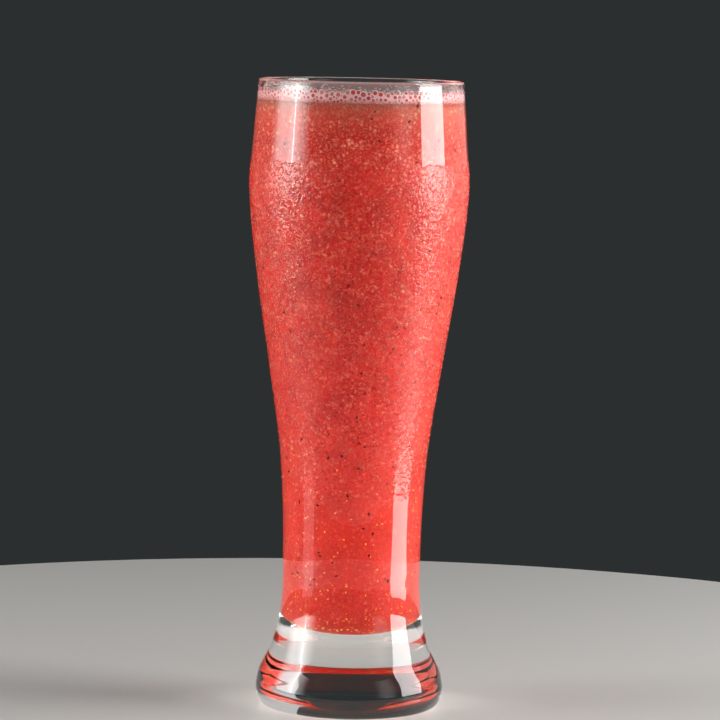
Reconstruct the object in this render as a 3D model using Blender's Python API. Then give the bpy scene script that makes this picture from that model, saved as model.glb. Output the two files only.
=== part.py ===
"""Strawberry juice in its tall curved glass, with a layer of foam on top.

Metres, +Z up. The origin is the middle of the glass's resting face, on the glass's axis.
Three solids: the glass, the juice that fills it and the foam that lies on the juice.
"""
import math
import random

import bmesh
import bpy

# Glass, outside: heights above the table and radii
GLASS_HEIGHT = 0.2220
RIM_RADIUS = 0.0360
SHOULDER_HEIGHT = 0.1832
SHOULDER_RADIUS = 0.03865
WAIST_HEIGHT = 0.0515
WAIST_RADIUS = 0.0244
BASE_HEIGHT = 0.0072
BASE_RADIUS = 0.0333
REST_RING_OUTER = 0.0302
REST_RING_INNER = 0.0270
UNDERSIDE_RISE = 0.0022

# Glass, inside: wall thickness at three heights and the hollow's bottom. The bottom's line is
# an ellipse at fullness 2, and flatter with rounder corners above that.
RIM_WALL = 0.0017
SHOULDER_WALL = 0.0022
WAIST_WALL = 0.0029
HOLLOW_BOTTOM = 0.0256
BOWL_TOP = 0.0450
BOWL_FULLNESS = 3.0

# Outside line from the base up to the rim: (height, radius)
OUTER_STATIONS = (
    (BASE_HEIGHT, BASE_RADIUS),
    (0.0125, 0.0321),
    (0.0197, 0.0287),
    (0.0276, 0.0262),
    (0.0370, 0.02470),
    (WAIST_HEIGHT, WAIST_RADIUS),
    (0.0730, 0.02495),
    (0.0945, 0.0266),
    (0.1230, 0.0308),
    (0.1550, 0.0357),
    (SHOULDER_HEIGHT, SHOULDER_RADIUS),
    (0.2000, 0.0377),
    (GLASS_HEIGHT, RIM_RADIUS),
)

# Wall thickness: (height, thickness)
WALL_STATIONS = (
    (BOWL_TOP, WAIST_WALL),
    (SHOULDER_HEIGHT, SHOULDER_WALL),
    (GLASS_HEIGHT, RIM_WALL),
)

# Drink
FIT_GAP = 0.0003
FOAM_TOP = 0.2180
FOAM_THICKNESS = 0.0035

# Bubbles that stand out of the foam: one ring at the wall and a loose scatter inside it
WALL_BUBBLE_COUNT = 44
MIDDLE_BUBBLE_COUNT = 22
WALL_BUBBLE_RADII = (0.0009, 0.0014)
MIDDLE_BUBBLE_RADII = (0.0007, 0.0013)
BUBBLE_SINK = 0.45
BUBBLE_SEED = 7
BUBBLE_SIDES = 8
BUBBLE_BANDS = 5

# Faceting
SIDES = 48
BASE_RINGS = 10
STEM_TOP = 0.1000
STEM_RINGS = 9
CUP_RINGS = 9
MOUTH_RINGS = 6
BOWL_RINGS = 8
RIM_RINGS = 5
FOOT_RINGS = 4
UNDERSIDE_RINGS = 3
MERGE_DISTANCE = 0.00002


def smooth_value(place, stations):
    """Value at a place on the smooth curve through stations, a cubic between each two."""
    slopes = []
    for index in range(len(stations)):
        before = stations[max(index - 1, 0)]
        after = stations[min(index + 1, len(stations) - 1)]
        slopes.append((after[1] - before[1]) / (after[0] - before[0]))
    index = 0
    while index < len(stations) - 2 and place > stations[index + 1][0]:
        index += 1
    start, end = stations[index], stations[index + 1]
    span = end[0] - start[0]
    t = (place - start[0]) / span
    return ((2 * t**3 - 3 * t**2 + 1) * start[1]
            + (t**3 - 2 * t**2 + t) * span * slopes[index]
            + (3 * t**2 - 2 * t**3) * end[1]
            + (t**3 - t**2) * span * slopes[index + 1])


def outer_radius(height):
    """Outside radius of the glass above the base's widest place."""
    return smooth_value(height, OUTER_STATIONS)


def inner_radius(height):
    """Inside radius of the glass: the wall above, the rounded bottom of the hollow below."""
    if height >= BOWL_TOP:
        return outer_radius(height) - smooth_value(height, WALL_STATIONS)
    wall_radius = outer_radius(BOWL_TOP) - WAIST_WALL
    drop = (BOWL_TOP - height) / (BOWL_TOP - HOLLOW_BOTTOM)
    return wall_radius * max(0.0, 1.0 - drop**BOWL_FULLNESS) ** (1 / BOWL_FULLNESS)


def spread(start, end, count):
    """Count places from start to end, both of them included."""
    return [start + (end - start) * step / (count - 1) for step in range(count)]


def wall_heights(top):
    """Heights of the rings on the inside wall, from the bowl up to a top height."""
    stem = spread(BOWL_TOP, STEM_TOP, STEM_RINGS)
    cup = spread(STEM_TOP, SHOULDER_HEIGHT, CUP_RINGS)
    mouth = spread(SHOULDER_HEIGHT, top, MOUTH_RINGS)
    return stem + cup[1:] + mouth[1:]


def bowl_line(clearance):
    """Line of the hollow's round bottom, from the axis out, drawn in by a clearance."""
    wall_radius = inner_radius(BOWL_TOP) - clearance
    depth = BOWL_TOP - HOLLOW_BOTTOM - clearance
    line = []
    for step in range(BOWL_RINGS):
        angle = 0.5 * math.pi * step / BOWL_RINGS
        reach = math.sin(angle) ** (2 / BOWL_FULLNESS)
        drop = math.cos(angle) ** (2 / BOWL_FULLNESS)
        line.append((wall_radius * reach, BOWL_TOP - depth * drop))
    return line


def glass_line():
    """Line of the glass: up the inside, over the rim, down the outside and under the foot."""
    rim_roll = RIM_WALL / 2
    rim_height = GLASS_HEIGHT - rim_roll
    line = bowl_line(0.0)
    for height in wall_heights(rim_height):
        line.append((inner_radius(height), height))
    rim_middle = (inner_radius(rim_height) + outer_radius(rim_height)) / 2
    rim_reach = outer_radius(rim_height) - rim_middle
    for step in range(1, RIM_RINGS):
        angle = math.pi * (1 - step / RIM_RINGS)
        line.append((rim_middle + rim_reach * math.cos(angle), rim_height + rim_roll * math.sin(angle)))
    for height in reversed(wall_heights(rim_height)):
        line.append((outer_radius(height), height))
    for height in reversed(spread(BASE_HEIGHT, BOWL_TOP, BASE_RINGS)[:-1]):
        line.append((outer_radius(height), height))
    for step in range(1, FOOT_RINGS + 1):
        angle = 0.5 * math.pi * step / FOOT_RINGS
        reach = (BASE_RADIUS - REST_RING_OUTER) * math.cos(angle)
        line.append((REST_RING_OUTER + reach, BASE_HEIGHT * (1 - math.sin(angle))))
    for step in range(UNDERSIDE_RINGS + 1):
        radius = REST_RING_INNER * (1 - step / UNDERSIDE_RINGS)
        line.append((radius, UNDERSIDE_RISE * (1 - (radius / REST_RING_INNER) ** 2)))
    return line


def juice_line():
    """Line of the juice, from the middle of its top out to the wall and down to the bottom."""
    top = FOAM_TOP - FOAM_THICKNESS - FIT_GAP
    line = [(0.0, top)]
    for height in reversed(wall_heights(top)):
        line.append((inner_radius(height) - FIT_GAP, height))
    line.extend(reversed(bowl_line(FIT_GAP)))
    return line


def foam_line():
    """Line of the foam layer, from the middle of its top out to the wall and back in."""
    bottom = FOAM_TOP - FOAM_THICKNESS
    return [
        (0.0, FOAM_TOP),
        (inner_radius(FOAM_TOP) - FIT_GAP, FOAM_TOP),
        (inner_radius(bottom) - FIT_GAP, bottom),
        (0.0, bottom),
    ]


def make_material(name, colour, roughness, transmission=0.0):
    """One Principled material."""
    material = bpy.data.materials.new(name)
    material.use_nodes = True
    shader = material.node_tree.nodes["Principled BSDF"]
    shader.inputs["Base Color"].default_value = colour
    shader.inputs["Roughness"].default_value = roughness
    shader.inputs["Metallic"].default_value = 0.0
    shader.inputs["Transmission Weight"].default_value = transmission
    return material


def add_object(name, mesh, material):
    """An object of a mesh with its material, linked to the scene."""
    piece = bpy.data.objects.new(name, mesh)
    mesh.materials.append(material)
    bpy.context.scene.collection.objects.link(piece)
    return piece


def turned_piece(name, line, material):
    """A body turned about +Z from a line that starts and ends on the axis."""
    mesh = bpy.data.meshes.new(name)
    points = [(radius, 0.0, height) for radius, height in line]
    edges = [(index, index + 1) for index in range(len(points) - 1)]
    mesh.from_pydata(points, edges, [])
    piece = add_object(name, mesh, material)
    screw = piece.modifiers.new("turn", "SCREW")
    screw.axis = "Z"
    screw.steps = SIDES
    screw.render_steps = SIDES
    screw.use_merge_vertices = True
    screw.merge_threshold = MERGE_DISTANCE
    screw.use_smooth_shade = True
    return piece


def bubble_places():
    """Place and radius of each bubble, none touching the wall."""
    draw = random.Random(BUBBLE_SEED)
    wall = inner_radius(FOAM_TOP) - 2 * FIT_GAP
    places = []
    for index in range(WALL_BUBBLE_COUNT):
        radius = draw.uniform(*WALL_BUBBLE_RADII)
        angle = 2 * math.pi * (index + draw.uniform(-0.2, 0.2)) / WALL_BUBBLE_COUNT
        reach = wall - radius * draw.uniform(1.0, 1.5)
        places.append((reach * math.cos(angle), reach * math.sin(angle), radius))
    turn = math.pi * (3 - math.sqrt(5))
    for index in range(MIDDLE_BUBBLE_COUNT):
        radius = draw.uniform(*MIDDLE_BUBBLE_RADII)
        reach = (wall - 5 * WALL_BUBBLE_RADII[1]) * math.sqrt((index + 0.5) / MIDDLE_BUBBLE_COUNT)
        angle = turn * index + draw.uniform(-0.3, 0.3)
        places.append((reach * math.cos(angle), reach * math.sin(angle), radius))
    return places


def fuse_bubbles(foam, material):
    """Joins the bubbles to the foam layer as one body."""
    bubbles = bpy.data.collections.new("bubbles")
    bpy.context.scene.collection.children.link(bubbles)
    for place_x, place_y, radius in bubble_places():
        shape = bmesh.new()
        bmesh.ops.create_uvsphere(shape, u_segments=BUBBLE_SIDES, v_segments=BUBBLE_BANDS, radius=radius)
        middle = (place_x, place_y, FOAM_TOP - BUBBLE_SINK * radius)
        bmesh.ops.translate(shape, vec=middle, verts=shape.verts)
        mesh = bpy.data.meshes.new("bubble")
        shape.to_mesh(mesh)
        shape.free()
        mesh.materials.append(material)
        bubbles.objects.link(bpy.data.objects.new("bubble", mesh))
    union = foam.modifiers.new("bubbles", "BOOLEAN")
    union.operation = "UNION"
    union.operand_type = "COLLECTION"
    union.collection = bubbles
    union.solver = "EXACT"
    bpy.context.view_layer.objects.active = foam
    for modifier_name in [modifier.name for modifier in foam.modifiers]:
        bpy.ops.object.modifier_apply(modifier=modifier_name)
    for bubble in list(bubbles.objects):
        bpy.data.objects.remove(bubble)
    bpy.data.collections.remove(bubbles)


def build():
    """Builds the glass, the juice and the foam."""
    for old in list(bpy.data.objects):
        bpy.data.objects.remove(old)
    clear_glass = make_material("clear_glass", (0.95, 0.97, 0.97, 1.0), 0.02, transmission=1.0)
    red_juice = make_material("red_juice", (0.56, 0.07, 0.05, 1.0), 0.25)
    pink_foam = make_material("pink_foam", (0.72, 0.22, 0.18, 1.0), 0.35)
    turned_piece("glass", glass_line(), clear_glass)
    turned_piece("juice", juice_line(), red_juice)
    foam = turned_piece("foam", foam_line(), pink_foam)
    fuse_bubbles(foam, pink_foam)


build()
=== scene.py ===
"""Strawberry juice in its tall curved glass: the looks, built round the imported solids.

Metres, +Z up. The camera stands on the -Y side and looks along +Y, a little downwards.
"""
import logging
import math
from collections.abc import Callable, Sequence
from dataclasses import dataclass, field
from enum import Enum

import bpy
import numpy as np
from mathutils import Matrix, Vector


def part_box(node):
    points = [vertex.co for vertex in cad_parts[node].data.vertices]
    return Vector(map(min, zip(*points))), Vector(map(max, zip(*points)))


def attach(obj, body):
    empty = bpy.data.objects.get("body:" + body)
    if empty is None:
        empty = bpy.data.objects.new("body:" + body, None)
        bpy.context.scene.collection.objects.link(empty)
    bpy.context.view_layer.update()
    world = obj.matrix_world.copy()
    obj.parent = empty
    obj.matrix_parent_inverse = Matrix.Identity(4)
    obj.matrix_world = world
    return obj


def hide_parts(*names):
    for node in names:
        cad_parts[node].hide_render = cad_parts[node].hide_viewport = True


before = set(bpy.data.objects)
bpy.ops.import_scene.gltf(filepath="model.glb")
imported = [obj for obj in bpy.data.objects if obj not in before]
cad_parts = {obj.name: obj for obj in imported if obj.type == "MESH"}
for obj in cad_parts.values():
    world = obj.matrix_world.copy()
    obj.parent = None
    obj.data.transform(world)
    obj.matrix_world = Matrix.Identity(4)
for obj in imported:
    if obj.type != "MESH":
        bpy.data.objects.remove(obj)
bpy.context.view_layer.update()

LOG = logging.getLogger("strawberry_juice")
BODY = "root"
MM = 0.001
FULL_TURN = 2 * math.pi
SAME_POINT = 0.003 * MM
# In half lengths of a seed: where its tip starts, and how far the tip is drawn out.
SEED_TIP = 0.95
SEED_TIP_OUT = 0.4
# Under this height, in radii of a drop or bubble, its edges stay sharp.
FLAT_SIDE = 0.01
LIGHT_BOUNCES = 16
FOAM_TOP = 0.2180
RANGE = ("From Min", "From Max", "To Min", "To Max")
TIMES = {"operation": "MULTIPLY"}
ADDED = {"operation": "ADD"}
# Numbers of a mix node's two colour inputs and its colour output.
COLOUR_A = 6
COLOUR_B = 7
MIXED = 2

Piece = bpy.types.Object
Material = bpy.types.Material
Socket = bpy.types.NodeSocket
Random = np.random.RandomState
Point = tuple[float, float, float]
Line = list[tuple[float, float]]
Stations = tuple[tuple[float, float], ...]


class Slot(Enum):
    """Material slots of the record."""

    GLASS = "clear_glass"
    JUICE = "strawberry_juice"
    FOAM = "juice_foam"


def linear(hex_colour: str) -> tuple[float, float, float, float]:
    """Turns an sRGB hex colour to linear red, green, blue and alpha.

    Args:
        hex_colour: Colour such as "c83228".

    Returns:
        Linear colour with alpha 1.
    """
    parts = [int(hex_colour[index:index + 2], 16) / 255 for index in (0, 2, 4)]
    red, green, blue = (
        part / 12.92 if part <= 0.04045 else ((part + 0.055) / 1.055) ** 2.4
        for part in parts
    )
    return red, green, blue, 1.0


def smooth_value(place: float, stations: Stations) -> float:
    """Reads the smooth curve through stations, a cubic between each two.

    Args:
        place: Where to read the curve.
        stations: Pairs of place and value, in rising order.

    Returns:
        Value at the place.
    """
    slopes = []
    for index in range(len(stations)):
        before = stations[max(index - 1, 0)]
        after = stations[min(index + 1, len(stations) - 1)]
        slopes.append((after[1] - before[1]) / (after[0] - before[0]))
    index = 0
    while index < len(stations) - 2 and place > stations[index + 1][0]:
        index += 1
    start, end = stations[index], stations[index + 1]
    span = end[0] - start[0]
    t = (place - start[0]) / span
    return ((2 * t**3 - 3 * t**2 + 1) * start[1]
            + (t**3 - 2 * t**2 + t) * span * slopes[index]
            + (3 * t**2 - 2 * t**3) * end[1]
            + (t**3 - t**2) * span * slopes[index + 1])


def spread(start: float, end: float, count: int) -> list[float]:
    """Lists evenly spaced places, both ends included.

    Args:
        start: First place.
        end: Last place.
        count: How many places.

    Returns:
        The places.
    """
    return [start + (end - start) * step / (count - 1) for step in range(count)]


@dataclass(frozen=True)
class GlassShape:
    """Outline of the glass, inside and outside, the same as that of the solids."""

    height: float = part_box("glass")[1].z
    outer_stations: Stations = (
        (0.0072, 0.0333), (0.0125, 0.0321), (0.0197, 0.0287), (0.0276, 0.0262), (0.0370, 0.02470),
        (0.0515, 0.0244), (0.0730, 0.02495), (0.0945, 0.0266), (0.1230, 0.0308), (0.1550, 0.0357),
        (0.1832, 0.03865), (0.2000, 0.0377), (0.2220, 0.0360),
    )
    wall_stations: Stations = ((0.0450, 0.0029), (0.1832, 0.0022), (0.2220, 0.0017))
    hollow_bottom: float = 0.0256
    bowl_top: float = 0.0450
    bowl_fullness: float = 3.0
    rest_ring_outer: float = 0.0302
    rest_ring_inner: float = 0.0270
    underside_rise: float = 0.0022
    wall_rings: int = 60
    bowl_rings: int = 20
    base_rings: int = 30
    round_rings: int = 10

    def outer(self, height: float) -> float:
        """Returns the outside radius at a height above the base's widest place."""
        return smooth_value(height, self.outer_stations)

    def inner(self, height: float) -> float:
        """Finds the inside radius: the wall above, the hollow's round bottom below.

        Args:
            height: Height above the bottom of the hollow, in metres.

        Returns:
            The radius in metres.
        """
        if height >= self.bowl_top:
            return self.outer(height) - smooth_value(height, self.wall_stations)
        wall_radius = self.outer(self.bowl_top) - self.wall_stations[0][1]
        drop = (self.bowl_top - height) / (self.bowl_top - self.hollow_bottom)
        return wall_radius * max(0.0, 1.0 - drop**self.bowl_fullness) ** (1 / self.bowl_fullness)

    def bowl_line(self, reach: float, rings: int) -> Line:
        """Draws the hollow's round bottom, from the axis out.

        Args:
            reach: How far past the wall the line lies, in metres.
            rings: Points in the line.

        Returns:
            Pairs of radius and height.
        """
        wall_radius = self.inner(self.bowl_top) + reach
        depth = self.bowl_top - self.hollow_bottom + reach
        line = []
        for step in range(rings):
            angle = 0.5 * math.pi * step / rings
            across = math.sin(angle) ** (2 / self.bowl_fullness)
            drop = math.cos(angle) ** (2 / self.bowl_fullness)
            line.append((wall_radius * across, self.bowl_top - depth * drop))
        return line

    def contents_line(self, reach: float, bottom: float, top: float, rings: int) -> Line:
        """Draws the inside wall between two heights, from the lower one up.

        Args:
            reach: How far past the wall the line lies, in metres.
            bottom: Lower height.
            top: Upper height.
            rings: Points in the line.

        Returns:
            Pairs of radius and height.
        """
        return [(self.inner(height) + reach, height) for height in spread(bottom, top, rings)]

    def glass_line(self) -> Line:
        """Draws the glass: up the inside, over the rim, down the outside and under the foot.

        Returns:
            Pairs of radius and height.
        """
        roll = self.wall_stations[-1][1] / 2
        rim = self.height - roll
        line = self.bowl_line(0.0, self.bowl_rings)
        line += self.contents_line(0.0, self.bowl_top, rim, self.wall_rings)
        middle = (self.inner(rim) + self.outer(rim)) / 2
        reach = self.outer(rim) - middle
        for step in range(1, self.round_rings):
            angle = math.pi * (1 - step / self.round_rings)
            line.append((middle + reach * math.cos(angle), rim + roll * math.sin(angle)))
        wall = spread(rim, self.bowl_top, self.wall_rings)
        base_height, base_radius = self.outer_stations[0]
        base = spread(self.bowl_top, base_height, self.base_rings)[1:]
        line += [(self.outer(height), height) for height in wall + base]
        for step in range(1, self.round_rings + 1):
            angle = 0.5 * math.pi * step / self.round_rings
            out = (base_radius - self.rest_ring_outer) * math.cos(angle)
            line.append((self.rest_ring_outer + out, base_height * (1 - math.sin(angle))))
        for step in range(self.round_rings + 1):
            share = 1 - step / self.round_rings
            line.append((self.rest_ring_inner * share, self.underside_rise * (1 - share**2)))
        return line


def deselect_all() -> None:
    """Leaves edit mode and deselects every object."""
    if bpy.context.mode != "OBJECT":
        bpy.ops.object.mode_set(mode="OBJECT")
    bpy.ops.object.select_all(action="DESELECT")


def mark_points(mesh: bpy.types.Mesh, name: str, values: Sequence[float] | np.ndarray) -> None:
    """Stores one number at each point of a mesh, for its material."""
    layer = mesh.attributes.new(name, "FLOAT", "POINT")
    layer.data.foreach_set("value", values)


def turned(name: str, line: Line, sides: int, material: Material) -> Piece:
    """Turns a line about +Z to a closed smooth body.

    Args:
        name: Name of the piece.
        line: Pairs of radius and height, both ends on the axis.
        sides: Steps round the axis.
        material: What it is made of.

    Returns:
        The piece.
    """
    deselect_all()
    bpy.ops.mesh.primitive_plane_add(size=MM)
    piece = bpy.context.object
    piece.name = name
    bpy.ops.object.mode_set(mode="EDIT")
    bpy.ops.mesh.select_mode(type="VERT")
    bpy.ops.mesh.select_all(action="SELECT")
    bpy.ops.mesh.merge(type="CENTER")
    bpy.ops.transform.translate(value=(line[0][0], 0.0, line[0][1]))
    for before, after in zip(line, line[1:]):
        move = (after[0] - before[0], 0.0, after[1] - before[1])
        bpy.ops.mesh.extrude_region_move(TRANSFORM_OT_translate={"value": move})
    bpy.ops.mesh.select_all(action="SELECT")
    bpy.ops.mesh.spin(steps=sides, angle=FULL_TURN, center=(0, 0, 0), axis=(0, 0, 1))
    bpy.ops.mesh.select_all(action="SELECT")
    bpy.ops.mesh.remove_doubles(threshold=SAME_POINT)
    bpy.ops.mesh.normals_make_consistent(inside=False)
    bpy.ops.object.mode_set(mode="OBJECT")
    bpy.ops.object.shade_smooth()
    piece.data.materials.append(material)
    return piece


@dataclass
class Grain:
    """One small modelled thing that is copied many times: its corners, faces and marks."""

    corners: np.ndarray
    faces: list[tuple[int, ...]]
    sharp: set[tuple[int, int]]
    marks: np.ndarray

    @classmethod
    def taken_from(cls, piece: Piece, sharp_below: float | None = None) -> "Grain":
        """Reads a modelled piece and removes it.

        Args:
            piece: The modelled small thing, about one metre in radius.
            sharp_below: Height under which its edges stay sharp, or None for none.

        Returns:
            The grain, whose mark is 0 at its top and 1 at its edge.
        """
        mesh = piece.data
        corners = np.array([vertex.co for vertex in mesh.vertices])
        faces = [tuple(face.vertices) for face in mesh.polygons]
        sharp = set()
        if sharp_below is not None:
            for edge in mesh.edges:
                if all(corners[index][2] < sharp_below for index in edge.vertices):
                    sharp.add(tuple(sorted(edge.vertices)))
        reach = np.abs(corners[:, 0]).max()
        marks = np.clip(np.hypot(corners[:, 0], corners[:, 1]) / reach, 0.0, 1.0)
        bpy.data.objects.remove(piece)
        return cls(corners, faces, sharp, marks)


def cap_grain(ball: float, cut: float, segments: int, rings: int) -> Grain:
    """Models a round cap: the top of a ball, closed underneath, standing at height 0.

    Args:
        ball: Radius of the ball.
        cut: Height of the cut above the ball's middle.
        segments: Steps round the ball.
        rings: Steps from its bottom to its top.

    Returns:
        The cap.
    """
    deselect_all()
    bpy.ops.mesh.primitive_uv_sphere_add(segments=segments, ring_count=rings, radius=ball)
    piece = bpy.context.object
    bpy.ops.object.mode_set(mode="EDIT")
    bpy.ops.mesh.select_all(action="SELECT")
    bpy.ops.mesh.bisect(plane_co=(0, 0, cut), plane_no=(0, 0, 1), use_fill=True, clear_inner=True)
    bpy.ops.mesh.select_all(action="SELECT")
    bpy.ops.transform.translate(value=(0, 0, -cut))
    bpy.ops.object.mode_set(mode="OBJECT")
    return Grain.taken_from(piece, sharp_below=FLAT_SIDE)


def side_place(
    radius_at: Callable[[float], float], height: float, angle: float, step: float, sink: float
) -> tuple[np.ndarray, np.ndarray]:
    """Finds a place on the side of a turned body.

    Args:
        radius_at: Function that gives the body's radius at a height.
        height: Height of the place.
        angle: Angle about +Z.
        step: How far up and down the slope is measured.
        sink: How far under the surface the place lies.

    Returns:
        The place and the direction out of the body there.
    """
    low, high = height - step, height + step
    slope = (radius_at(high) - radius_at(low)) / (high - low)
    normal = np.array((math.cos(angle), math.sin(angle), -slope))
    normal /= np.linalg.norm(normal)
    radius = radius_at(height)
    place = np.array((radius * math.cos(angle), radius * math.sin(angle), height))
    return place - normal * sink, normal


@dataclass
class Scatter:
    """Places, directions and sizes of many copies of a grain."""

    places: list[np.ndarray] = field(default_factory=list)
    frames: list[np.ndarray] = field(default_factory=list)
    shades: list[float] = field(default_factory=list)

    def add(
        self, place: np.ndarray, normal: np.ndarray, turn: float, sizes: Point, shade: float
    ) -> None:
        """Adds one copy.

        Args:
            place: Middle of the copy.
            normal: Direction of the copy's own +Z.
            turn: Turn about that direction.
            sizes: Half sizes along the copy's three axes.
            shade: Shade of the copy from 0 to 1, for its material.
        """
        up = np.array((0.0, 0.0, 1.0)) if abs(normal[2]) < 0.9 else np.array((1.0, 0.0, 0.0))
        side = np.cross(up, normal)
        side /= np.linalg.norm(side)
        other = np.cross(normal, side)
        across = math.cos(turn) * side + math.sin(turn) * other
        along = np.cross(normal, across)
        self.places.append(place)
        self.frames.append(np.column_stack((across, along, normal)) * np.array(sizes))
        self.shades.append(shade)

    def make(self, name: str, grain: Grain, material: Material) -> Piece:
        """Joins all copies to one mesh, with the grain's marks and the shades as attributes.

        Args:
            name: Name of the piece.
            grain: The thing to copy.
            material: What it is made of.

        Returns:
            The piece.
        """
        count, size = len(self.places), len(grain.corners)
        frames = np.array(self.frames)
        corners = np.einsum("nij,vj->nvi", frames, grain.corners) + np.array(self.places)[:, None, :]
        faces = []
        for copy in range(count):
            faces += [tuple(corner + copy * size for corner in face) for face in grain.faces]
        mesh = bpy.data.meshes.new(name)
        mesh.from_pydata(corners.reshape(-1, 3), [], faces)
        mesh.shade_smooth()
        if grain.sharp:
            ends = np.empty(len(mesh.edges) * 2, np.int32)
            mesh.edges.foreach_get("vertices", ends)
            local = np.sort(ends.reshape(-1, 2) % size, axis=1)
            codes = {low * size + high for low, high in grain.sharp}
            flags = np.isin(local[:, 0] * size + local[:, 1], list(codes))
            layer = mesh.attributes.new("sharp_edge", "BOOLEAN", "EDGE")
            layer.data.foreach_set("value", flags)
        mark_points(mesh, "edge_mark", np.tile(grain.marks, count))
        mark_points(mesh, "shade", np.repeat(np.array(self.shades), size))
        mesh.materials.append(material)
        piece = bpy.data.objects.new(name, mesh)
        bpy.context.scene.collection.objects.link(piece)
        return piece


@dataclass
class Finish:
    """A material being made, to which nodes are added."""

    name: str
    material: Material = field(init=False)

    def __post_init__(self) -> None:
        """Makes the empty material."""
        self.material = bpy.data.materials.new(self.name)
        self.material.use_nodes = True
        self.material.node_tree.nodes.clear()

    def add(self, kind: str, settings: dict | None = None, links: dict | None = None) -> bpy.types.Node:
        """Adds a node with its settings and links.

        Args:
            kind: Name of the node's type, without its common beginning.
            settings: Values by property name, or by socket name or number.
            links: Sockets of earlier nodes by the name or number of this node's socket.

        Returns:
            The node.
        """
        node = self.material.node_tree.nodes.new(f"ShaderNode{kind}")
        for key, value in (settings or {}).items():
            if isinstance(key, str) and hasattr(node, key) and key not in node.inputs:
                setattr(node, key, value)
            else:
                node.inputs[key].default_value = value
        for key, socket in (links or {}).items():
            self.material.node_tree.links.new(socket, node.inputs[key])
        return node

    def end(self, shader: Socket) -> Material:
        """Joins the last shader to the output and returns the material."""
        self.add("OutputMaterial", links={"Surface": shader})
        return self.material

    def end_clear(self, shader: Socket, tint: str) -> Material:
        """Ends a clear finish that lets lamp light straight through.

        Args:
            shader: The clear shader.
            tint: Hex colour of the light that comes through.

        Returns:
            The material.
        """
        path = self.add("LightPath")
        passing = self.add("BsdfTransparent", {"Color": linear(tint)})
        links = {0: path.outputs["Is Shadow Ray"], 1: shader, 2: passing.outputs[0]}
        mixed = self.add("MixShader", links=links)
        return self.end(mixed.outputs[0])


@dataclass(frozen=True)
class SodaLimeGlass:
    """Soda-lime glass, pressed and fire-polished.

    To the eye it is clear and mirror-smooth at the rim, low on the stem and on the base. Between
    them the cold drink mists it, and the mist breaks up the lamps' reflections among the drops.
    """

    mist_top: float
    mist_full: float
    mist_bottom: float
    ior: float = 1.51
    colour: str = "fbfdfc"
    light_through: str = "f4f6f6"
    mist_roughness: float = 0.18
    # Real mist is grained more finely. It is drawn as coarse as it needs to show.
    mist_grain: float = 1.2 * MM
    mist_height: float = 0.32 * MM
    # The mist's limits wander up and down by this much in all, in waves of this size.
    ragged_by: float = 4 * MM
    ragged_size: float = 2.5 * MM
    top_fade: float = 0.6 * MM

    def make(self) -> Material:
        """Makes the material.

        Returns:
            The material, for a mesh whose attribute "outside" is 1 on the outside.
        """
        finish = Finish("fire_polished_glass")
        place = finish.add("TexCoord").outputs["Object"]
        height = finish.add("SeparateXYZ", links={0: place}).outputs["Z"]
        ragged, grain = (
            finish.add(
                "TexNoise",
                {"Scale": 1 / size, "Detail": detail, "Roughness": 0.5},
                {"Vector": place},
            ).outputs["Fac"]
            for size, detail in ((self.ragged_size, 2.0), (self.mist_grain, 1.0))
        )
        settings = {"operation": "MULTIPLY_ADD", 1: self.ragged_by, 2: -self.ragged_by / 2}
        shift = finish.add("Math", settings, {0: ragged})
        level = finish.add("Math", ADDED, {0: height, 1: shift.outputs[0]})
        outside = finish.add("Attribute", {"attribute_name": "outside"})
        mist = outside.outputs["Fac"]
        fade = self.top_fade / 2
        for limits in (
            (self.mist_bottom, self.mist_full, 0.0, 1.0),
            (self.mist_top - fade, self.mist_top + fade, 1.0, 0.0),
        ):
            settings = dict(zip(RANGE, limits))
            band = finish.add("MapRange", settings, {"Value": level.outputs[0]})
            mist = finish.add("Math", TIMES, {0: mist, 1: band.outputs[0]}).outputs[0]
        rough = finish.add("Math", {**TIMES, 1: self.mist_roughness}, {0: mist})
        relief = finish.add("Math", TIMES, {0: grain, 1: mist})
        settings = {"Strength": 1.0, "Distance": self.mist_height}
        bump = finish.add("Bump", settings, {"Height": relief.outputs[0]})
        shader = finish.add(
            "BsdfPrincipled",
            {"Base Color": linear(self.colour), "IOR": self.ior, "Transmission Weight": 1.0},
            {"Roughness": rough.outputs[0], "Normal": bump.outputs["Normal"]},
        )
        return finish.end_clear(shader.outputs[0], self.light_through)


@dataclass(frozen=True)
class DewWater:
    """Water of the condensation, beaded on the glass.

    To the eye each drop is a lens that shows the red drink behind it. The water's colour is a
    painted tint of that red seen through it, and each drop flashes where it faces a lamp. Some
    drops flash sharply and some softly, by their shade.
    """

    ior: float = 1.33
    # Painted tint: the red of the drink seen through the drops, put into the water's own colour.
    colour: str = "e88c7c"
    light_through: str = "ffffff"
    smoothest: float = 0.06
    roughest: float = 0.34

    def make(self) -> Material:
        """Makes the material.

        Returns:
            The material, for a mesh with the attribute "shade".
        """
        finish = Finish("dew_water")
        shade = finish.add("Attribute", {"attribute_name": "shade"})
        settings = dict(zip(RANGE, (0.0, 1.0, self.smoothest, self.roughest)))
        rough = finish.add("MapRange", settings, {"Value": shade.outputs["Fac"]})
        shader = finish.add(
            "BsdfPrincipled",
            {"Base Color": linear(self.colour), "IOR": self.ior, "Transmission Weight": 1.0},
            {"Roughness": rough.outputs[0]},
        )
        return finish.end_clear(shader.outputs[0], self.light_through)


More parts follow.
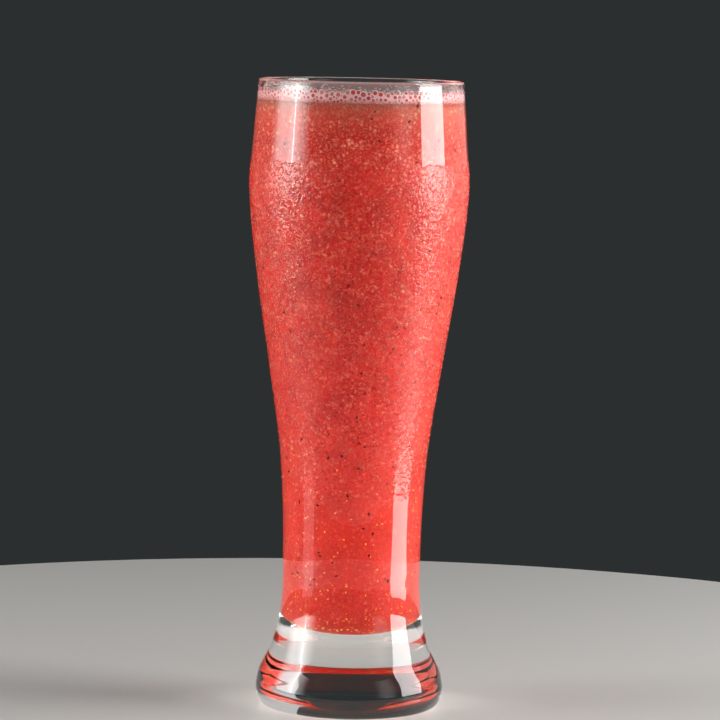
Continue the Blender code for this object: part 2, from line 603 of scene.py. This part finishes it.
@dataclass(frozen=True)
class JuiceFinish:
    """Strawberry juice, blended: ground flesh, pulp and air in water.

    To the eye it glows deep red, because light goes far into it, and pale scraps of pulp and air
    speckle it in clumps. Low down they are fainter. Painted light makes it paler right under the
    foam, where the foam shades it, and low in the stem, where light comes through the thin stem.
    """

    flesh: str = "c83831"
    deep: str = "b22726"
    # Painted light: this paler red is mixed in right under the foam, where the foam shades the juice,
    # and low in the stem, where light comes through it.
    fleck: str = "ffccaa"
    painted_light_flesh: str = "ff7660"
    cloud_size: float = 11 * MM
    clump_size: float = 3.5 * MM
    grain_size: float = 0.6 * MM
    # Most real scraps are finer. They are drawn as coarse as they need to show.
    fleck_pitch: float = 1.5 * MM
    fleck_bend: float = 1.5 * MM
    # Below these heights the flecks thin out, and painted light lightens the juice in the stem.
    pulp_and_stem_light_low: float = 0.07
    pulp_and_stem_light_high: float = 0.135
    # Where the painted light under the foam starts and is full, and its largest share.
    under_foam_light_low: float = 0.201
    under_foam_light_high: float = 0.2145
    under_foam_light_most: float = 0.45
    light_depth: float = 75 * MM
    # Red light goes far in, green and blue light hardly at all.
    light_depth_shares: Point = (1.0, 0.013, 0.01)

    def make(self) -> Material:
        """Makes the material.

        Returns:
            The material.
        """
        finish = Finish("strawberry_juice")
        place = finish.add("TexCoord").outputs["Object"]
        height = finish.add("SeparateXYZ", links={0: place}).outputs["Z"]
        cloud, grain, clump = (
            finish.add(
                "TexNoise",
                {"Scale": 1 / size, "Detail": detail, "Roughness": roughness},
                {"Vector": place},
            )
            for size, detail, roughness in (
                (self.cloud_size, 4.0, 0.6),
                (self.grain_size, 2.0, 0.5),
                (self.clump_size, 3.0, 0.6),
            )
        )
        # The fine grain bends the flecks, so that none is a neat round dot.
        settings = {"operation": "MULTIPLY_ADD", 1: (self.fleck_bend,) * 3}
        bent = finish.add("VectorMath", settings, {0: grain.outputs["Color"], 2: place})
        settings = {"feature": "F1", "Scale": 1 / self.fleck_pitch, "Randomness": 1.0}
        fleck = finish.add("TexVoronoi", settings, {"Vector": bent.outputs[0]})
        chosen = finish.add("SeparateColor", links={0: fleck.outputs["Color"]})
        # Each value turns from one share to another over a range of its own.
        spot, rare, clumps, clouds, fine, risen, stem_light = (
            finish.add("MapRange", dict(zip(RANGE, limits)), {"Value": source}).outputs[0]
            for source, limits in (
                (fleck.outputs["Distance"], (0.15, 0.52, 1.0, 0.0)),
                (chosen.outputs["Red"], (0.2, 0.9, 0.0, 1.0)),
                (clump.outputs["Fac"], (0.38, 0.62, 0.15, 1.0)),
                (cloud.outputs["Fac"], (0.35, 0.65, 0.0, 1.0)),
                (grain.outputs["Fac"], (0.48, 0.75, 0.0, 0.45)),
                (height, (self.pulp_and_stem_light_low, self.pulp_and_stem_light_high, 0.35, 1.0)),
                # Painted light: the stem's share of the paler red, falling away above the stem.
                (height, (self.pulp_and_stem_light_low, self.pulp_and_stem_light_high, 0.16, 0.0)),
            )
        )
        fleck_share = spot
        for share in (rare, clumps, risen):
            fleck_share = finish.add("Math", TIMES, {0: fleck_share, 1: share}).outputs[0]
        grain_share = finish.add("Math", TIMES, {0: fine, 1: risen}).outputs[0]
        # Painted light: right under the foam the red is made paler, where the foam shades it.
        settings = dict(zip(RANGE, (self.under_foam_light_low, self.under_foam_light_high, 0.0, self.under_foam_light_most)))
        settings["interpolation_type"] = "SMOOTHSTEP"
        under_foam_light = finish.add("MapRange", settings, {"Value": height})
        painted_light_share = finish.add("Math", ADDED, {0: under_foam_light.outputs[0], 1: stem_light}).outputs[0]
        settings = {"data_type": "RGBA", COLOUR_A: linear(self.deep), COLOUR_B: linear(self.flesh)}
        colour = finish.add("Mix", settings, {0: clouds}).outputs[MIXED]
        for over, share in (
            (self.fleck, grain_share),
            (self.fleck, fleck_share),
            (self.painted_light_flesh, painted_light_share),
        ):
            settings = {"data_type": "RGBA", COLOUR_B: linear(over)}
            colour = finish.add("Mix", settings, {0: share, COLOUR_A: colour}).outputs[MIXED]
        shader = finish.add(
            "BsdfPrincipled",
            {
                "Roughness": 0.45,
                "IOR": 1.34,
                "Specular IOR Level": 0.1,
                "Subsurface Weight": 1.0,
                "Subsurface Radius": self.light_depth_shares,
                "Subsurface Scale": self.light_depth,
            },
            {"Base Color": colour},
        )
        return finish.end(shader.outputs[0])


@dataclass(frozen=True)
class FoamFinish:
    """Juice foam, whipped up by mixing: bubbles in thin wet films.

    To the eye the films are pale where bubbles meet, and the red shows through each one's middle.
    """

    film: str = "ffece6"
    inside: str = "b2343a"
    film_edge: tuple[float, float] = (0.84, 0.98)
    paleness: float = 0.7

    def make(self) -> Material:
        """Makes the material.

        Returns:
            The material, for a mesh with the attributes "edge_mark" and "shade".
        """
        finish = Finish("juice_foam")
        mark = finish.add("Attribute", {"attribute_name": "edge_mark"})
        shade = finish.add("Attribute", {"attribute_name": "shade"})
        settings = dict(zip(RANGE, (*self.film_edge, 0.0, 1.0)))
        edge = finish.add("MapRange", settings, {"Value": mark.outputs["Fac"]})
        pale = finish.add("Math", {**TIMES, 1: self.paleness}, {0: shade.outputs["Fac"]})
        links = {0: edge.outputs[0], 1: pale.outputs[0]}
        share = finish.add("Math", {"operation": "MAXIMUM"}, links)
        settings = {"data_type": "RGBA", COLOUR_A: linear(self.inside), COLOUR_B: linear(self.film)}
        colour = finish.add("Mix", settings, {0: share.outputs[0]})
        shader = finish.add(
            "BsdfPrincipled",
            {"Roughness": 0.12, "IOR": 1.34, "Subsurface Weight": 0.3, "Subsurface Scale": 1 * MM},
            {"Base Color": colour.outputs[MIXED]},
        )
        return finish.end(shader.outputs[0])


class SeedKind(Enum):
    """The two ways strawberry seeds look in the juice, as (dark colour, light colour)."""

    RIPE = ("2a0d08", "6a2412")
    GOLDEN = ("d8902a", "ffdc6a")


@dataclass(frozen=True)
class SeedFinish:
    """Strawberry seeds: woody, hard and wetted by the juice.

    To the eye each is one flat shade between its kind's two colours, with hardly any shine.
    """

    kind: SeedKind

    def make(self) -> Material:
        """Makes the material.

        Returns:
            The material, for a mesh with the attribute "shade".
        """
        finish = Finish(f"{self.kind.name.lower()}_seed")
        shade = finish.add("Attribute", {"attribute_name": "shade"})
        dark, light = self.kind.value
        settings = {"data_type": "RGBA", COLOUR_A: linear(dark), COLOUR_B: linear(light)}
        colour = finish.add("Mix", settings, {0: shade.outputs["Fac"]})
        settings = {"Roughness": 0.5, "IOR": 1.5, "Specular IOR Level": 0.15}
        shader = finish.add("BsdfPrincipled", settings, {"Base Color": colour.outputs[MIXED]})
        return finish.end(shader.outputs[0])


@dataclass
class Vessel:
    """The glass, its wall and thick base in one body."""

    shape: GlassShape
    dew: "Dew"
    sides: int = 144
    outside_within: float = 0.5 * MM

    def build(self) -> list[Piece]:
        """Builds the glass and marks its outside.

        Returns:
            The glass.
        """
        finish = SodaLimeGlass(self.dew.top, self.dew.full_down_to, self.dew.bottom)
        body = turned("glass_body", self.shape.glass_line(), self.sides, finish.make())
        flags = []
        for vertex in body.data.vertices:
            radius = math.hypot(vertex.co.x, vertex.co.y)
            height = max(vertex.co.z, self.shape.outer_stations[0][0])
            flags.append(float(radius > self.shape.outer(height) - self.outside_within))
        mark_points(body.data, "outside", flags)
        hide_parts("glass")
        return [body]


@dataclass
class Juice:
    """The juice, with its seeds and golden specks at the wall."""

    shape: GlassShape
    top: float
    reach: float = 0.15 * MM
    sides: int = 144
    rings: int = 90
    bowl_rings: int = 24
    seed_count: int = 250
    speck_count: int = 560
    speck_band: float = 64 * MM
    edge_band: float = 3.6 * MM
    edge_growth: float = 1.4
    seed_sink: float = 0.02 * MM
    slope_step: float = 0.2 * MM
    # Half lengths in millimetres, and how wide and thick they are by their length.
    seed_lengths: tuple[float, float] = (0.34, 0.66)
    speck_lengths: tuple[float, float] = (0.24, 0.44)
    seed_shape: Point = (1.0, 0.68, 0.4)
    speck_shape: Point = (1.0, 0.7, 0.35)
    seed: int = 11

    def radius(self, height: float) -> float:
        """Returns the juice's radius at a height in its hollow."""
        return self.shape.inner(height) + self.reach

    def body(self) -> Piece:
        """Turns the juice's body.

        Returns:
            The body, which reaches a little into the wall.
        """
        line = self.shape.bowl_line(self.reach, self.bowl_rings)
        line += self.shape.contents_line(self.reach, self.shape.bowl_top, self.top, self.rings)
        line.append((0.0, self.top))
        return turned("juice_body", line, self.sides, JuiceFinish().make())

    def seed_grain(self) -> Grain:
        """Models one strawberry seed: a drop with one blunt and one pointed end.

        Returns:
            The seed, pointed along its own +X.
        """
        deselect_all()
        bpy.ops.mesh.primitive_uv_sphere_add(segments=6, ring_count=6, radius=1.0)
        piece = bpy.context.object
        bpy.ops.object.mode_set(mode="EDIT")
        bpy.ops.mesh.select_mode(type="VERT")
        bpy.ops.mesh.select_all(action="DESELECT")
        bpy.ops.object.mode_set(mode="OBJECT")
        for vertex in piece.data.vertices:
            vertex.select = vertex.co.z > SEED_TIP
        bpy.ops.object.mode_set(mode="EDIT")
        bpy.ops.transform.translate(value=(0, 0, SEED_TIP_OUT))
        bpy.ops.mesh.select_all(action="SELECT")
        bpy.ops.transform.rotate(value=math.pi / 2, orient_axis="Y")
        bpy.ops.object.mode_set(mode="OBJECT")
        return Grain.taken_from(piece)

    def seeds(self) -> Piece:
        """Places the dark seeds, more of them low down.

        Returns:
            The seeds as one piece.
        """
        draw = Random(self.seed)
        scatter = Scatter()
        for _ in range(self.seed_count):
            height = self.shape.bowl_top + (self.top - self.shape.bowl_top) * draw.uniform() ** 1.5
            angle = draw.uniform(0, FULL_TURN)
            length = draw.uniform(*self.seed_lengths) * MM
            place, normal = side_place(self.radius, height, angle, self.slope_step, self.seed_sink)
            turn = draw.uniform(0, FULL_TURN)
            sizes = tuple(length * part for part in self.seed_shape)
            scatter.add(place, normal, turn, sizes, draw.uniform(0, 0.7))
        return scatter.make("ripe_seeds", self.seed_grain(), SeedFinish(SeedKind.RIPE).make())

    def specks(self) -> Piece:
        """Places the golden seeds and scraps, every second one by the hollow's bottom edge.

        Returns:
            The golden seeds as one piece.
        """
        draw = Random(self.seed + 1)
        scatter = Scatter()
        edge = self.shape.hollow_bottom + 0.3 * MM
        low = self.shape.bowl_top - 14 * MM
        for index in range(self.speck_count):
            at_edge = index % 2 == 1
            if at_edge:
                height = edge + self.edge_band * draw.uniform() ** 1.8
            else:
                height = low + self.speck_band * draw.uniform() ** 1.4
            angle = draw.uniform(0, FULL_TURN)
            length = draw.uniform(*self.speck_lengths) * (self.edge_growth if at_edge else 1.0) * MM
            place, normal = side_place(self.radius, height, angle, self.slope_step, 0.0)
            turn = draw.uniform(0, FULL_TURN)
            sizes = tuple(length * part for part in self.speck_shape)
            scatter.add(place, normal, turn, sizes, draw.uniform(0, 1))
        return scatter.make("golden_seeds", self.seed_grain(), SeedFinish(SeedKind.GOLDEN).make())

    def build(self) -> list[Piece]:
        """Builds the juice, its seeds and its specks.

        Returns:
            The three pieces.
        """
        body = self.body()
        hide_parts("juice")
        pieces = [body, self.seeds(), self.specks()]
        return pieces


@dataclass
class Foam:
    """The foam on the juice: a wet layer, bubbles pressed to the wall and bubbles on top."""

    shape: GlassShape
    bottom: float
    top: float
    body_reach: float = 0.02 * MM
    bubble_sink: float = 0.04 * MM
    shade_height: float = 1.6 * MM
    body_shades: tuple[float, float] = (0.2, 0.7)
    overlap: float = 0.14
    sides: int = 144
    seed: int = 23
    largest: float = 1.2 * MM
    smallest: float = 0.26 * MM
    tries: int = 9000
    top_tries: int = 3500

    def body(self, material: Material) -> Piece:
        """Turns the wet layer under the bubbles, darker at its bottom than at its top.

        Args:
            material: The foam's material.

        Returns:
            The layer.
        """
        shoulder = self.top - 0.5 * MM
        line = [(0.0, self.bottom)]
        line += self.shape.contents_line(self.body_reach, self.bottom, shoulder, 8)
        line.append((self.shape.inner(self.top) - 0.6 * MM, self.top))
        line += [(line[-1][0] * share, self.top) for share in (0.9, 0.75, 0.5, 0.25, 0.0)]
        body = turned("foam_body", line, self.sides, material)
        heights = np.array([vertex.co.z for vertex in body.data.vertices])
        risen = np.clip((heights - self.bottom) / self.shade_height, 0.0, 1.0)
        darkest, palest = self.body_shades
        mark_points(body.data, "edge_mark", np.zeros(len(heights)))
        mark_points(body.data, "shade", darkest + (palest - darkest) * risen)
        return body

    def packed(
        self,
        draw: Random,
        tries: int,
        pick: Callable[[Random], tuple[float, float]],
        room: Callable[[float, float, float], float],
    ) -> list[Point]:
        """Packs circles of falling size without overlap.

        Args:
            draw: Random numbers.
            tries: How many circles to try.
            pick: Function that draws a place (u, v).
            room: Function of u, v and the share of tries left that gives the largest radius.

        Returns:
            Circles as (u, v, radius).
        """
        found = np.empty((0, 3))
        for step in range(tries):
            u, v = pick(draw)
            radius = room(u, v, 1 - step / tries)
            if radius < self.smallest:
                continue
            radius *= draw.uniform(0.8, 1.0)
            gap = np.hypot(found[:, 0] - u, found[:, 1] - v) - found[:, 2] - radius
            if len(found) and gap.min() < -self.overlap * radius:
                continue
            found = np.vstack((found, (u, v, radius)))
        return [tuple(row) for row in found]

    def wall_bubbles(self, grain: Grain, material: Material) -> Piece:
        """Packs the bubbles that press against the wall, large at the front and fine below.

        Args:
            grain: One bubble.
            material: The foam's material.

        Returns:
            The bubbles as one piece.
        """
        draw = Random(self.seed)
        wall = self.shape.inner(self.top)
        depth = self.top - self.bottom

        def pick(source: Random) -> tuple[float, float]:
            """Draws a place along the wall and down it."""
            return source.uniform(-math.pi * wall, math.pi * wall), source.uniform(-0.1, 1.5) * depth

        def room(along: float, down: float, share: float) -> float:
            """Gives the largest radius at a place of the band, whose lower edge is ragged.

            Args:
                along: Place along the wall, 0 at the front.
                down: Place down the wall, 0 at the foam's top.
                share: Share of the tries that are left.

            Returns:
                The radius, 0 below the band.
            """
            # The lower edge hangs down in uneven waves. The bubbles are largest at the front's top.
            hang = 1.15 + 0.3 * math.sin(along / (2.3 * MM)) * math.sin(along / (1.1 * MM) + 1.3)
            if down > hang * depth:
                return 0.0
            front = 0.65 + 0.35 * math.exp(-((along / wall / 0.7) ** 2))
            fall = 1.0 - 0.45 * min(max(down / depth, 0.0), 1.0)
            return self.smallest + (self.largest * front * fall - self.smallest) * share**0.55

        scatter = Scatter()
        for along, down, radius in self.packed(draw, self.tries, pick, room):
            angle = along / wall - 0.5 * math.pi
            height = self.top - down
            normal = np.array((math.cos(angle), math.sin(angle), 0.0))
            place = normal * (self.shape.inner(height) - self.bubble_sink)
            place[2] = height
            turn = draw.uniform(0, 3)
            scatter.add(place, normal, turn, (radius, radius, 0.2 * MM), draw.uniform(0, 0.3))
        return scatter.make("wall_bubbles", grain, material)

    def top_bubbles(self, grain: Grain, material: Material) -> Piece:
        """Packs the domes on the foam's top, larger and denser towards the wall.

        Args:
            grain: One bubble.
            material: The foam's material.

        Returns:
            The bubbles as one piece.
        """
        draw = Random(self.seed + 1)
        wall = self.shape.inner(self.top)

        def pick(source: Random) -> tuple[float, float]:
            """Draws a place on the top.

            Args:
                source: Random numbers.

            Returns:
                The place along X and Y.
            """
            reach = (wall - 0.4 * MM) * source.uniform() ** 0.2
            angle = source.uniform(0, FULL_TURN)
            return reach * math.cos(angle), reach * math.sin(angle)

        def room(across: float, along: float, share: float) -> float:
            """Gives the largest radius at a place of the top.

            Args:
                across: Place along X.
                along: Place along Y.
                share: Share of the tries that are left.

            Returns:
                The radius, which keeps the bubble off the wall.
            """
            reach = math.hypot(across, along)
            edge = max(0.0, 1 - (wall - reach) / (8 * MM))
            largest = self.largest * (0.55 + 0.45 * edge)
            radius = self.smallest + (largest - self.smallest) * share**1.3
            return min(radius, wall - 0.1 * MM - reach)

        scatter = Scatter()
        up = np.array((0.0, 0.0, 1.0))
        for across, along, radius in self.packed(draw, self.top_tries, pick, room):
            place = np.array((across, along, self.top - 0.1 * radius))
            turn = draw.uniform(0, 3)
            scatter.add(place, up, turn, (radius, radius, 0.35 * radius), draw.uniform(0.3, 0.75))
        return scatter.make("top_bubbles", grain, material)

    def build(self) -> list[Piece]:
        """Builds the foam's layer and its bubbles.

        Returns:
            The three pieces.
        """
        material = FoamFinish().make()
        body = self.body(material)
        grain = cap_grain(1.0, 0.0, segments=10, rings=8)
        pieces = [body, self.wall_bubbles(grain, material), self.top_bubbles(grain, material)]
        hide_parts("foam")
        return pieces


@dataclass
class Dew:
    """Condensation on the outside: fine drops from a little under the foam down to the stem.

    The drops' radii are in millimetres: the smallest, and how much larger the largest is.
    """

    shape: GlassShape
    top: float = 0.1935
    full_down_to: float = 0.112
    bottom: float = 0.074
    pitch: float = 1.1 * MM
    row_step: float = 0.87
    top_share: float = 0.75
    thinning: float = 1.3
    jitter: float = 0.4
    smallest: float = 0.2
    growth: float = 0.36
    sink: float = 0.03 * MM
    slope_step: float = 0.1 * MM
    contact_angle: float = math.radians(33)
    pieces: int = 4
    seed: int = 5

    def share(self, height: float) -> float:
        """Gives the share of the places at a height that hold a drop.

        Args:
            height: The height, in metres.

        Returns:
            The share, which falls to 0 at the bottom.
        """
        if height > self.top - 1.2 * MM:
            return self.top_share
        if height > self.full_down_to:
            return 1.0
        return ((height - self.bottom) / (self.full_down_to - self.bottom)) ** self.thinning

    def build(self) -> list[Piece]:
        """Builds the drops in a few pieces, one above the other.

        Returns:
            The pieces, from the top down.
        """
        draw = Random(self.seed)
        ball = 1 / math.sin(self.contact_angle)
        grain = cap_grain(ball, ball * math.cos(self.contact_angle), segments=6, rings=12)
        material = DewWater().make()
        rows = int((self.top - self.bottom) / (self.pitch * self.row_step))
        heights = spread(self.top, self.bottom, rows)
        total = sum(self.share(height) * self.shape.outer(height) for height in heights)
        scatters = [Scatter() for _ in range(self.pieces)]
        done = 0.0
        for height in heights:
            done += self.share(height) * self.shape.outer(height)
            scatter = scatters[min(int(done / total * self.pieces), self.pieces - 1)]
            self.add_row(scatter, draw, height)
        pieces = []
        for number, scatter in enumerate(scatters, 1):
            piece = scatter.make(f"dew_{number}", grain, material)
            pieces.append(piece)
        return pieces

    def add_row(self, scatter: Scatter, draw: Random, height: float) -> None:
        """Adds the drops of one row.

        Args:
            scatter: Where the drops go.
            draw: Random numbers.
            height: Height of the row.
        """
        count = int(FULL_TURN * self.shape.outer(height) / self.pitch)
        for number in range(count):
            if draw.uniform() > self.share(height):
                continue
            angle = FULL_TURN * (number + draw.uniform(-self.jitter, self.jitter)) / count
            at = height + draw.uniform(-self.jitter, self.jitter) * self.pitch
            place, normal = side_place(self.shape.outer, at, angle, self.slope_step, self.sink)
            size = (self.smallest + self.growth * draw.uniform() ** 1.3) * MM
            sizes = (size, size * draw.uniform(0.85, 1.1), size)
            scatter.add(place, normal, draw.uniform(0, 1), sizes, draw.uniform(0, 1))


@dataclass(frozen=True)
class Lamp:
    """A panel lamp: azimuth in degrees, sizes in metres, power in watts."""

    name: str
    azimuth: float
    distance: float
    middle: float
    width: float
    height: float
    power: float
    flat: bool = False
    soft_edge: float = 0.0

    def soften(self, light: bpy.types.AreaLight) -> None:
        """Lets the lamp fade out towards its two upright edges.

        Args:
            light: The lamp's light.
        """
        light.use_nodes = True
        nodes, links = light.node_tree.nodes, light.node_tree.links
        emission = nodes["Emission"]
        across = nodes.new("ShaderNodeSeparateXYZ")
        links.new(nodes.new("ShaderNodeNewGeometry").outputs["Parametric"], across.inputs[0])
        fade = nodes.new("ShaderNodeValToRGB")
        fade.color_ramp.interpolation = "EASE"
        edge = self.soft_edge
        stops = ((0.0, 0.0), (edge, 1.0), (1 - edge, 1.0), (1.0, 0.0))
        while len(fade.color_ramp.elements) < len(stops):
            fade.color_ramp.elements.new(0.5)
        for element, (place, value) in zip(fade.color_ramp.elements, stops):
            element.position = place
            element.color = (value, value, value, 1.0)
        links.new(across.outputs["X"], fade.inputs["Fac"])
        links.new(fade.outputs["Color"], emission.inputs["Strength"])

    def build(self) -> None:
        """Hangs the lamp, facing the glass's axis, or up when it lies flat on the table.

        Azimuth 0 is the camera's side and + is to its right.
        """
        light = bpy.data.lights.new(self.name, "AREA")
        light.shape = "RECTANGLE"
        light.size = self.width
        light.size_y = self.height
        light.energy = self.power
        if self.soft_edge:
            self.soften(light)
        lamp = bpy.data.objects.new(self.name, light)
        turn = math.radians(self.azimuth)
        place = Vector((math.sin(turn) * self.distance, -math.cos(turn) * self.distance, self.middle))
        aim = Vector((0, 0, self.middle)) - place
        facing = aim.to_track_quat("-Z", "Y").to_matrix().to_4x4()
        if self.flat:
            facing = facing @ Matrix.Rotation(math.radians(90), 4, "X")
        lamp.matrix_world = Matrix.Translation(place) @ facing
        lamp.visible_camera = False
        bpy.context.scene.collection.objects.link(lamp)


@dataclass
class Studio:
    """The plain pale table top, the lamps, the soft surroundings and the camera."""

    table_radius: float = 0.33
    table_thickness: float = 0.02
    table_gap: float = 0.05 * MM
    table_colour: str = "d2d0cc"
    surroundings: str = "2c2f2f"
    lens: float = 177.95
    sensor_width: float = 36.0
    camera_place: Point = (0.00153, -1.2528, 0.2504)
    pitch_down: float = 5.805
    roll: float = 1.21

    def floor(self) -> None:
        """Builds the table top: a thin round board, painted an even satin grey to the eye."""
        deselect_all()
        bpy.ops.mesh.primitive_cylinder_add(
            vertices=192, radius=self.table_radius, depth=self.table_thickness,
            location=(0, 0, -self.table_thickness / 2 - self.table_gap),
        )
        board = bpy.context.object
        board.name = "table_top"
        bpy.ops.object.transform_apply(location=True)
        rounding = board.modifiers.new("edge", "BEVEL")
        rounding.width = 3 * MM
        rounding.segments = 4
        bpy.ops.object.modifier_apply(modifier="edge")
        bpy.ops.object.shade_smooth_by_angle(angle=math.radians(40))
        finish = Finish("pale_table")
        shader = finish.add(
            "BsdfPrincipled",
            {"Base Color": linear(self.table_colour), "Roughness": 0.5, "IOR": 1.45},
        )
        board.data.materials.append(finish.end(shader.outputs[0]))

    def camera(self) -> None:
        """Sets the camera at the photograph's place, pitch and roll."""
        data = bpy.data.cameras.new("camera")
        data.lens = self.lens
        data.sensor_width = self.sensor_width
        data.sensor_fit = "HORIZONTAL"
        camera = bpy.data.objects.new("camera", data)
        turn = Matrix.Rotation(math.radians(90 - self.pitch_down), 4, "X")
        lean = Matrix.Rotation(math.radians(self.roll), 4, "Z")
        camera.matrix_world = Matrix.Translation(Vector(self.camera_place)) @ turn @ lean
        bpy.context.scene.collection.objects.link(camera)
        bpy.context.scene.camera = camera

    def light(self) -> None:
        """Hangs the lamps and sets the surroundings."""
        # Azimuth, distance, height of the middle, width, height and power. The last two lie flat.
        for lamp in (
            Lamp("right_panel", 84, 0.9, 0.48, 0.52, 0.9, 15.0),
            Lamp("right_soft", 48, 1.0, 0.36, 0.6, 0.6, 1.3, soft_edge=0.48),
            Lamp("left_panel", -81, 1.0, 0.36, 1.08, 0.6, 12.5, soft_edge=0.35),
            Lamp("left_middle", -76, 0.99, 0.48, 0.3, 0.88, 2.6, soft_edge=0.4),
            Lamp("left_core", -75, 0.98, 0.48, 0.04, 0.86, 1.1, soft_edge=0.3),
            Lamp("back_right_soft", 128, 1.0, 0.48, 1.1, 0.9, 1.5),
            Lamp("right_low", 85, 0.3175, 0.002, 0.19, 0.069, 0.27, flat=True),
            Lamp("left_low", -75, 0.33, 0.002, 0.12, 0.07, 0.03, flat=True),
        ):
            lamp.build()
        world = bpy.data.worlds.new("studio")
        world.use_nodes = True
        background = world.node_tree.nodes["Background"]
        background.inputs["Color"].default_value = linear(self.surroundings)
        background.inputs["Strength"].default_value = 1.0
        bpy.context.scene.world = world

    def build(self) -> None:
        """Builds the studio and sets how colours are shown."""
        self.floor()
        self.camera()
        self.light()
        scene = bpy.context.scene
        scene.view_settings.view_transform = "Standard"
        scene.cycles.use_denoising = True
        scene.cycles.transparent_max_bounces = LIGHT_BOUNCES
        scene.cycles.max_bounces = LIGHT_BOUNCES
        scene.cycles.transmission_bounces = LIGHT_BOUNCES


def main() -> None:
    """Builds the studio and every piece."""
    logging.basicConfig(level=logging.INFO, format="%(name)s: %(message)s")
    shape = GlassShape()
    foam_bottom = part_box("foam")[0].z
    Studio().build()
    dew = Dew(shape)
    foam = Foam(shape, foam_bottom, FOAM_TOP)
    groups = (Vessel(shape, dew), Juice(shape, foam_bottom), foam, dew)
    for group in groups:
        for piece in group.build():
            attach(piece, BODY)
            LOG.info("%s: %d faces", piece.name, len(piece.data.polygons))


if __name__ == "__main__":
    main()
